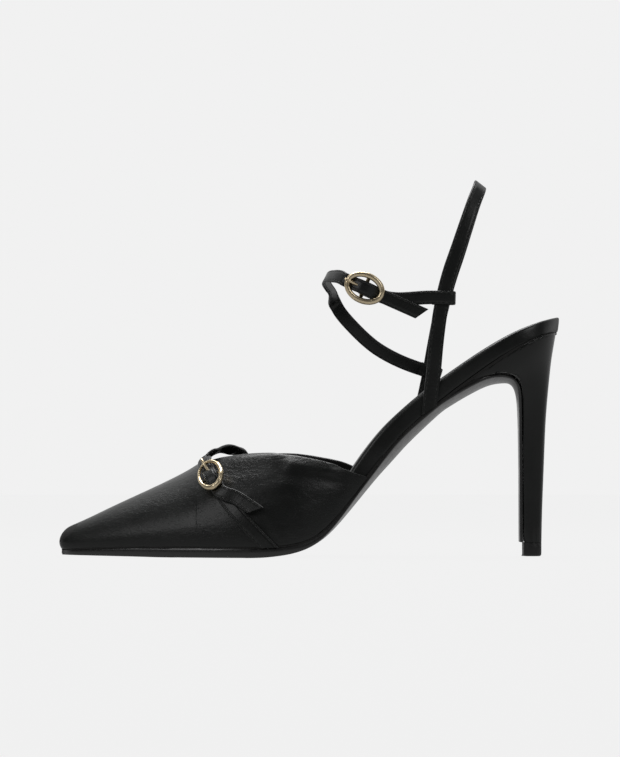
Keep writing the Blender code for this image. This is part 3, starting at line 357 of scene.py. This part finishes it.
# Plain sole leather on the tread: a dry, flat black with the fibre showing at 1.1 mm.
TREAD_FIBRES_PER_METRE = 900.0
tread_leather, tread_tree, tread_shader = finish("tread_leather", Specular_IOR_Level=0.35, Roughness=0.62)
tread_place = add(tread_tree, "ShaderNodeTexCoord")
tread_fibre = add(
    tread_tree, "ShaderNodeTexNoise",
    {
        "Vector": tread_place.outputs["Object"], "Scale": TREAD_FIBRES_PER_METRE, "Detail": 5.0,
        "Roughness": 0.7,
    },
)
tread_tone = add(tread_tree, "ShaderNodeValToRGB", {"Fac": tread_fibre.outputs["Fac"]})
tread_tone.color_ramp.elements[0].position = 0.3
tread_tone.color_ramp.elements[0].color = linear("#161514")
tread_tone.color_ramp.elements[1].position = 0.75
tread_tone.color_ramp.elements[1].color = linear("#34312e")
tread_tree.links.new(tread_tone.outputs["Color"], tread_shader.inputs["Base Color"])
tread_bump = add(
    tread_tree, "ShaderNodeBump", {"Height": tread_fibre.outputs["Fac"], "Strength": 0.35, "Distance": 0.2 * MM}
)
tread_tree.links.new(tread_bump.outputs[0], tread_shader.inputs["Normal"])

TREAD_END, TREAD_HEIGHT, FACES_DOWN = 8 * MM, 6 * MM, -0.55
POLISHED, TREAD = 0, 1
shape = rounded(quads_of("outsole"), 2, firm=0.6)
for face in shape.faces:
    place = face.calc_center_median()
    below = face.normal.z < FACES_DOWN and place.x < TREAD_END and place.z < TREAD_HEIGHT
    face.material_index = TREAD if below else POLISHED
piece("outsole_leather", shape, [sole_polish, tread_leather], "sole_leather", "outsole")

# Heel and top piece. A moulded core covered in the upper's calf, drawn tight with no wrinkle, and a hard
# polyurethane tip pinned into the foot of it.

shape = rounded(quads_of("heel"), 1, firm=0.8)
piece("heel_cover", shape, [calf_finish("heel_calf", 0.03)], "calf", "heel", sharp=45)

# Polyurethane tip: moulded, flat black with a faint mould grain of two thirds of a millimetre.
MOULD_GRAINS_PER_METRE = 1500.0
tip_finish, tip_tree, tip_shader = finish("moulded_tip", Base_Color=linear("#1c1c1c"))
tip_place = add(tip_tree, "ShaderNodeTexCoord")
tip_grain = add(
    tip_tree, "ShaderNodeTexNoise",
    {"Vector": tip_place.outputs["Object"], "Scale": MOULD_GRAINS_PER_METRE, "Detail": 2.0},
)
tip_bump = add(
    tip_tree, "ShaderNodeBump", {"Height": tip_grain.outputs["Fac"], "Strength": 0.15, "Distance": 0.1 * MM}
)
tip_tree.links.new(tip_bump.outputs[0], tip_shader.inputs["Normal"])
tip_rough = add(
    tip_tree, "ShaderNodeMapRange",
    {"Value": tip_grain.outputs["Fac"], "From Min": 0.3, "From Max": 0.7, "To Min": 0.45, "To Max": 0.58},
)
tip_tree.links.new(tip_rough.outputs["Result"], tip_shader.inputs["Roughness"])
shape = rounded(quads_of("top_piece"), 1, firm=1.0)
# The tip is pressed up against the heel's cover, with no line of light between.
tip_top, TIP_EDGE, TIP_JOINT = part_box("top_piece")[1].z, 0.5 * MM, 0.3 * MM
for vert in shape.verts:
    if vert.co.z > tip_top - TIP_EDGE:
        vert.co.z += TIP_JOINT
piece("heel_tip", shape, [tip_finish], "tip_rubber", "top_piece", sharp=35)

# Straps. Calf strips folded over a tape to about 1.2 mm, with a row of stitches along each edge that sinks into
# a shallow channel. Cross folds show where a strap bends.

strap_calf = calf_finish("strap_calf", 0.08, along="strap")

# A solid strap has eight long lines from end to end. Its flat ends have eight corners in one plane, and edges that
# bend by more than 40 degrees. A long line follows edges that bend by 12 degrees or more and lead ahead; past 0.8
# radians a sharper edge is no better.
LONG_LINES, ONE_PLANE, END_BEND = 8, 0.9999, math.radians(40)
LEAST_BEND, FULL_BEND, LEAST_AHEAD = math.radians(12), 0.8, 0.3


def flat_ends(shape):
    """The two flat ends of a strap's mesh, each with its eight corners, in order, and its outward direction."""
    shape.verts.index_update()
    ends, seen = [], set()
    for first in shape.faces:
        if first in seen:
            continue
        patch, waiting = {first}, [first]
        while waiting:
            for edge in waiting.pop().edges:
                for other in edge.link_faces:
                    if other not in patch and other.normal.dot(first.normal) > ONE_PLANE:
                        patch.add(other)
                        waiting.append(other)
        seen |= patch
        corners = {vert for face in patch for vert in face.verts}
        border = [edge for face in patch for edge in face.edges if not set(edge.link_faces) <= patch]
        if len(corners) == LONG_LINES and min(edge.calc_face_angle() for edge in border) > END_BEND:
            ends.append((sorted(corners, key=lambda vert: vert.index), first.normal.copy()))
    return ends


def edge_lines(corners, outward, far_corners):
    """The eight long lines of a strap's mesh, followed from the corners of one end toward the other."""
    lines = []
    for vert in corners:
        line, heading = [vert], -outward
        while line[-1] not in far_corners:
            best, most = None, 0.0
            for edge in line[-1].link_edges:
                ahead = edge.other_vert(line[-1])
                bend = edge.calc_face_angle()
                along = (ahead.co - line[-1].co).normalized().dot(heading)
                if ahead in corners or ahead in line or bend < LEAST_BEND or along < LEAST_AHEAD:
                    continue
                if along + min(bend, FULL_BEND) > most:
                    best, most = ahead, along + min(bend, FULL_BEND)
            if best is None:
                break
            heading = (best.co - line[-1].co).normalized()
            line.append(best)
        lines.append([step.co.copy() for step in line])
    return lines


def nearest_on(line, place):
    """Point of a line nearest to a place."""
    near = []
    for a, b in zip(line, line[1:]):
        share = (place - a).dot(b - a) / (b - a).length_squared
        near.append(a.lerp(b, min(max(share, 0.0), 1.0)))
    return min(near, key=lambda point: (point - place).length)


def sections_from(near_end, far_end):
    """Sections of a strap, from one end on: its middle, half its width and half its thickness."""
    corners, outward = near_end
    lines = edge_lines(corners, outward, far_end[0])
    lengths = [len(line) for line in lines]
    count = max(length for length in lengths if lengths.count(length) > 2)
    whole = [line for line in lines if len(line) == count]
    for line in lines:
        if len(line) != count:
            beside = min(whole, key=lambda other: (other[0] - line[0]).length)
            line[:] = [line[0]] + [nearest_on(line, place) for place in beside[1:]]
    middle = sum((line[0] for line in lines), Vector()) / LONG_LINES
    reach = max((line[0] - middle for line in lines), key=lambda way: way.length)
    edge_pair = sorted(lines, key=lambda line: -(line[0] - middle).dot(reach))[:2]
    level = ((edge_pair[0][0] + edge_pair[1][0]) / 2 - middle).cross(outward)
    top_pair = sorted(lines, key=lambda line: -(line[0] - middle).dot(level))[:2]
    sections = []
    for k in range(count):
        middle = sum((line[k] for line in lines), Vector()) / LONG_LINES
        half = (edge_pair[0][k] + edge_pair[1][k]) / 2 - middle
        sections.append([middle, half, (top_pair[0][k] + top_pair[1][k]) / 2 - middle])
    return sections


def strap_rings(node):
    """Sections of a CAD strap from end to end, read from both ends to its middle."""
    shape = bmesh.new()
    shape.from_mesh(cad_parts[node].data)
    bmesh.ops.remove_doubles(shape, verts=shape.verts, dist=MERGE)
    shape.normal_update()
    first, second = flat_ends(shape)
    ahead, back = sections_from(first, second), sections_from(second, first)
    shape.free()
    kept = len(ahead) // 2 + 1
    rest = back[:len(ahead) - kept][::-1]
    for part in (1, 2):
        if rest[0][part].dot(ahead[kept - 1][part]) < 0:
            for section in rest:
                section[part] = -section[part]
    return ahead[:kept] + rest


def smooth_frames(rings, step):
    """Places along a strap a step apart on one smooth curve through its sections."""
    frames = []
    last = len(rings) - 1
    for i in range(last):
        rows = [rings[max(i - 1, 0)], rings[i], rings[i + 1], rings[min(i + 2, last)]]
        count = max(1, round((rows[2][0] - rows[1][0]).length / step))
        for k in range(count + (i == last - 1)):
            t = k / count
            weights = (
                -0.5 * t + t * t - 0.5 * t ** 3, 1 - 2.5 * t * t + 1.5 * t ** 3,
                0.5 * t + 2 * t * t - 1.5 * t ** 3, -0.5 * t * t + 0.5 * t ** 3,
            )
            frames.append([
                sum((row[part] * weight for row, weight in zip(rows, weights)), Vector()) for part in range(3)
            ])
    return frames


def strap_matrix(frames, i):
    """Frame of a strap's section: X forward, Y to the edge, Z up through the thickness."""
    middle, half, thick = frames[i]
    ahead = frames[min(i + 1, len(frames) - 1)][0] - frames[max(i - 1, 0)][0]
    up = half.cross(ahead).normalized()
    up = up if up.dot(thick) > 0 else -up
    matrix = Matrix((ahead.normalized(), half, up)).transposed().to_4x4()
    matrix.translation = middle
    return matrix


# Half section of a strap: share of the half width, height in millimetres. The dip is the stitch channel.
STRAP_SECTION = (
    (0.00, 0.62), (0.40, 0.61), (0.62, 0.59), (0.70, 0.42),
    (0.78, 0.60), (0.88, 0.56), (0.96, 0.36), (1.00, 0.0),
)


def strap_shape(frames):
    """Closed strap swept along its frames, with its length run and its place across kept on every point."""
    shape = bmesh.new()
    run_of = shape.verts.layers.float.new("run")
    across_of = shape.verts.layers.float.new("across")
    section = [(share, up) for share, up in STRAP_SECTION]
    section += [(share, -up) for share, up in reversed(STRAP_SECTION[:-1])]
    section += [(-share, -up) for share, up in STRAP_SECTION[1:]]
    section += [(-share, up) for share, up in reversed(STRAP_SECTION[1:-1])]
    start = strap_matrix(frames, 0)
    half = frames[0][1].length
    ring = []
    for share, up in section:
        vert = shape.verts.new(start @ Vector((0, share, up * MM)))
        vert[across_of] = share * half
        ring.append(vert)
    edges = [shape.edges.new((a, b)) for a, b in zip(ring, ring[1:] + ring[:1])]
    bmesh.ops.contextual_create(shape, geom=edges)
    run, before = 0.0, start
    for i in range(1, len(frames)):
        here = strap_matrix(frames, i)
        run += (here.translation - before.translation).length
        grown = bmesh.ops.extrude_edge_only(shape, edges=edges)["geom"]
        moved = [item for item in grown if isinstance(item, bmesh.types.BMVert)]
        edges = [item for item in grown if isinstance(item, bmesh.types.BMEdge)]
        bmesh.ops.transform(shape, verts=moved, matrix=here @ before.inverted())
        for vert in moved:
            vert[run_of] = run
        before = here
    bmesh.ops.contextual_create(shape, geom=edges)
    bmesh.ops.recalc_face_normals(shape, faces=shape.faces)
    return shape


# Stitches 2.3 mm apart, 1.6 mm long, of thread a third of a millimetre thick, in the channel's middle.
STITCH_PITCH, STITCH_LENGTH, THREAD_RADIUS = 2.3 * MM, 1.6 * MM, 0.17 * MM
STITCH_SHARE, STITCH_HEIGHT = 0.70, 0.52 * MM


def stitch_rows(frames):
    """Rows of stitches laid in the channels along both edges, on both faces, as small domes of thread."""
    shape = bmesh.new()
    covered, due = 0.0, STITCH_PITCH
    for i in range(1, len(frames) - 1):
        covered += (frames[i][0] - frames[i - 1][0]).length
        if covered < due:
            continue
        due += STITCH_PITCH
        place = strap_matrix(frames, i)
        size = Vector((STITCH_LENGTH / 2, THREAD_RADIUS / frames[i][1].length, THREAD_RADIUS))
        for edge in (-STITCH_SHARE, STITCH_SHARE):
            for face in (1, -1):
                dome = place @ Matrix.LocRotScale(Vector((0, edge, face * STITCH_HEIGHT)), None, size)
                bmesh.ops.create_uvsphere(shape, u_segments=6, v_segments=4, radius=1.0, matrix=dome)
    return shape


# Bonded thread, black, waxed: a little brighter than the calf where its twist, a turn in 0.25 mm, catches the light.
thread_finish, thread_tree, thread_shader = finish("bonded_thread", Roughness=0.45)
thread_place = add(thread_tree, "ShaderNodeTexCoord")
thread_ply = add(
    thread_tree, "ShaderNodeTexNoise",
    {"Vector": thread_place.outputs["Object"], "Scale": 1 / (0.25 * MM), "Detail": 2.0},
)
thread_tone = add(thread_tree, "ShaderNodeValToRGB", {"Fac": thread_ply.outputs["Fac"]})
thread_tone.color_ramp.elements[0].color = linear("#1d1d1d")
thread_tone.color_ramp.elements[1].color = linear("#484846")
thread_tree.links.new(thread_tone.outputs["Color"], thread_shader.inputs["Base Color"])

STRAP_STEP = 1.1 * MM
for node in ("sling_strap", "ankle_strap", "ankle_strap_anchor", "vamp_strap", "vamp_strap_anchor"):
    frames = smooth_frames(strap_rings(node), STRAP_STEP)
    piece(node + "_calf", strap_shape(frames), [strap_calf], "calf", node, sharp=75)
    piece(node + "_stitches", stitch_rows(frames), [thread_finish], "calf")

# Buckles. Cast zinc rings and prongs, polished and plated pale gold, with a clear lacquer. Each ring hangs in its
# short strap, and its prong turns on the ring's bar and comes down through the long strap.

# Pale gold plate under lacquer: bright, softened by polishing marks, with a tone that drifts over about 3 mm.
GOLD_CLOUDS_PER_METRE = 300.0
pale_gold, gold_tree, gold_shader = finish("pale_gold_plate", Metallic=1.0, Coat_Weight=0.15, Coat_Roughness=0.08)
gold_place = add(gold_tree, "ShaderNodeTexCoord")
gold_cloud = add(
    gold_tree, "ShaderNodeTexNoise",
    {"Vector": gold_place.outputs["Object"], "Scale": GOLD_CLOUDS_PER_METRE, "Detail": 3.0},
)
gold_tone = add(gold_tree, "ShaderNodeValToRGB", {"Fac": gold_cloud.outputs["Fac"]})
gold_tone.color_ramp.elements[0].color = linear("#dcc59b")
gold_tone.color_ramp.elements[1].color = linear("#f4e6c8")
gold_tree.links.new(gold_tone.outputs["Color"], gold_shader.inputs["Base Color"])
gold_rough = add(
    gold_tree, "ShaderNodeMapRange",
    {"Value": gold_cloud.outputs["Fac"], "From Min": 0.3, "From Max": 0.7, "To Min": 0.22, "To Max": 0.34},
)
gold_tree.links.new(gold_rough.outputs["Result"], gold_shader.inputs["Roughness"])
# Share of the ring's width kept along the shoe, polishing passes, and metal in millimetres added all round, at the
# heavy side, 35 degrees below the back, and at the nine hammered facets.
RING_SHAPES = (("vamp_buckle", 0.88, 2, 0.12, 0.32, 0.06), ("ankle_buckle", 1.0, 8, 0.42, 0.06, 0.0))
HEAVY_TURN, FACETS, PRONG_METAL = math.radians(35), 9, 0.16 * MM
for node, kept, passes, plate, heavy, facet in RING_SHAPES:
    shape = rounded(quads_of(node), 2)
    smoothed(shape, shape.verts, passes)
    shape.normal_update()
    low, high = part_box(node)
    middle = (low + high) / 2
    for vert in shape.verts:
        turn = math.atan2(vert.co.z - middle.z, vert.co.x - middle.x)
        grown = plate + heavy * math.cos(turn + HEAVY_TURN) + facet * math.sin(FACETS * turn)
        vert.co += vert.normal * grown * MM
        vert.co.x = middle.x + (vert.co.x - middle.x) * kept
    piece(node + "_gold", shape, [pale_gold], "gold", node)
for node in ("vamp_prong", "ankle_prong"):
    shape = rounded(quads_of(node), 2)
    for vert in shape.verts:
        vert.co += vert.normal * PRONG_METAL
    piece(node + "_gold", shape, [pale_gold], "gold", node)

# Setting. The shoe stands on a plain pale floor, lit from below so that no shadow or far edge shows, under three
# soft studio lights. Behind the camera the room is darker, which gives the gloss its dark side.

# Floor of lit opal sheet: as pale as the backdrop to the eye, and less bright in what the shoe reflects.
PALE = linear("#f1f1f1")
floor_finish, floor_tree, floor_shader = finish(
    "studio_floor", Base_Color=linear("#1c1c1c"), Specular_IOR_Level=0.0, Roughness=0.9, Emission_Color=PALE
)
floor_seen = add(floor_tree, "ShaderNodeLightPath")
floor_glow = add(
    floor_tree, "ShaderNodeMapRange",
    {"Value": floor_seen.outputs["Is Camera Ray"], "To Min": 0.42, "To Max": 0.985},
)
floor_tree.links.new(floor_glow.outputs["Result"], floor_shader.inputs["Emission Strength"])
FLOOR_RADIUS, FLOOR_DROP = 30.0, 0.1 * MM
shape = bmesh.new()
bmesh.ops.create_circle(shape, cap_ends=True, segments=96, radius=FLOOR_RADIUS)
floor_mesh = bpy.data.meshes.new("floor")
shape.to_mesh(floor_mesh)
shape.free()
floor_mesh.materials.append(floor_finish)
floor = bpy.data.objects.new("floor", floor_mesh)
bpy.context.scene.collection.objects.link(floor)
floor.location.z = -FLOOR_DROP

world = bpy.data.worlds.new("studio")
bpy.context.scene.world = world
world.use_nodes = True
sky = world.node_tree
sky.nodes.clear()
around = add(sky, "ShaderNodeTexCoord")
direction = add(sky, "ShaderNodeSeparateXYZ", {"Vector": around.outputs["Generated"]})
behind = add(
    sky, "ShaderNodeMapRange",
    {"Value": direction.outputs["Y"], "From Min": -0.1, "From Max": 0.75, "To Min": 0.10, "To Max": 0.85},
    interpolation_type="SMOOTHSTEP",
)
studio = add(sky, "ShaderNodeBackground", {"Strength": behind.outputs["Result"]})
backdrop = add(sky, "ShaderNodeBackground", {"Color": PALE, "Strength": 1.0})
seen_by = add(sky, "ShaderNodeLightPath")
mixed = add(
    sky, "ShaderNodeMixShader",
    {0: seen_by.outputs["Is Camera Ray"], 1: studio.outputs[0], 2: backdrop.outputs[0]},
)
add(sky, "ShaderNodeOutputWorld", {"Surface": mixed.outputs[0]})


def softbox(name, place, aim, size, power):
    """Studio light with a white cloth front, size wide and high, aimed from its place at a point of the shoe."""
    light = bpy.data.lights.new(name, "AREA")
    light.shape = "RECTANGLE"
    light.size, light.size_y = size
    light.energy = power
    made = bpy.data.objects.new(name, light)
    bpy.context.scene.collection.objects.link(made)
    made.location = place
    made.rotation_euler = (Vector(aim) - Vector(place)).to_track_quat("-Z", "Y").to_euler()


softbox("overhead", (-0.10, 0.25, 1.10), (0, 0, 0.05), (0.8, 0.5), 10.0)
softbox("front_left", (-0.9, -0.9, 0.75), (0, 0, 0.05), (0.5, 0.7), 2.6)
softbox("front_right", (0.9, -0.8, 0.9), (0, 0, 0.08), (0.4, 0.6), 2.0)

camera_lens = bpy.data.cameras.new("camera")
camera = bpy.data.objects.new("camera", camera_lens)
bpy.context.scene.collection.objects.link(camera)
CAMERA_ALONG, CAMERA_DISTANCE, CAMERA_HEIGHT, AIM_HEIGHT = 0.001, 1.2, 0.030, 0.0832
PHOTO_WIDTH, PIXELS_PER_METRE, SENSOR = 620, 2134.0, 36.0
camera_lens.sensor_fit = "HORIZONTAL"
camera_lens.sensor_width = SENSOR
camera_lens.lens = SENSOR * CAMERA_DISTANCE * PIXELS_PER_METRE / PHOTO_WIDTH
camera.location = (CAMERA_ALONG, -CAMERA_DISTANCE, CAMERA_HEIGHT)
aim = Vector((CAMERA_ALONG, 0, AIM_HEIGHT)) - camera.location
camera.rotation_euler = aim.to_track_quat("-Z", "Y").to_euler()
bpy.context.scene.camera = camera
bpy.context.scene.view_settings.view_transform = "Standard"
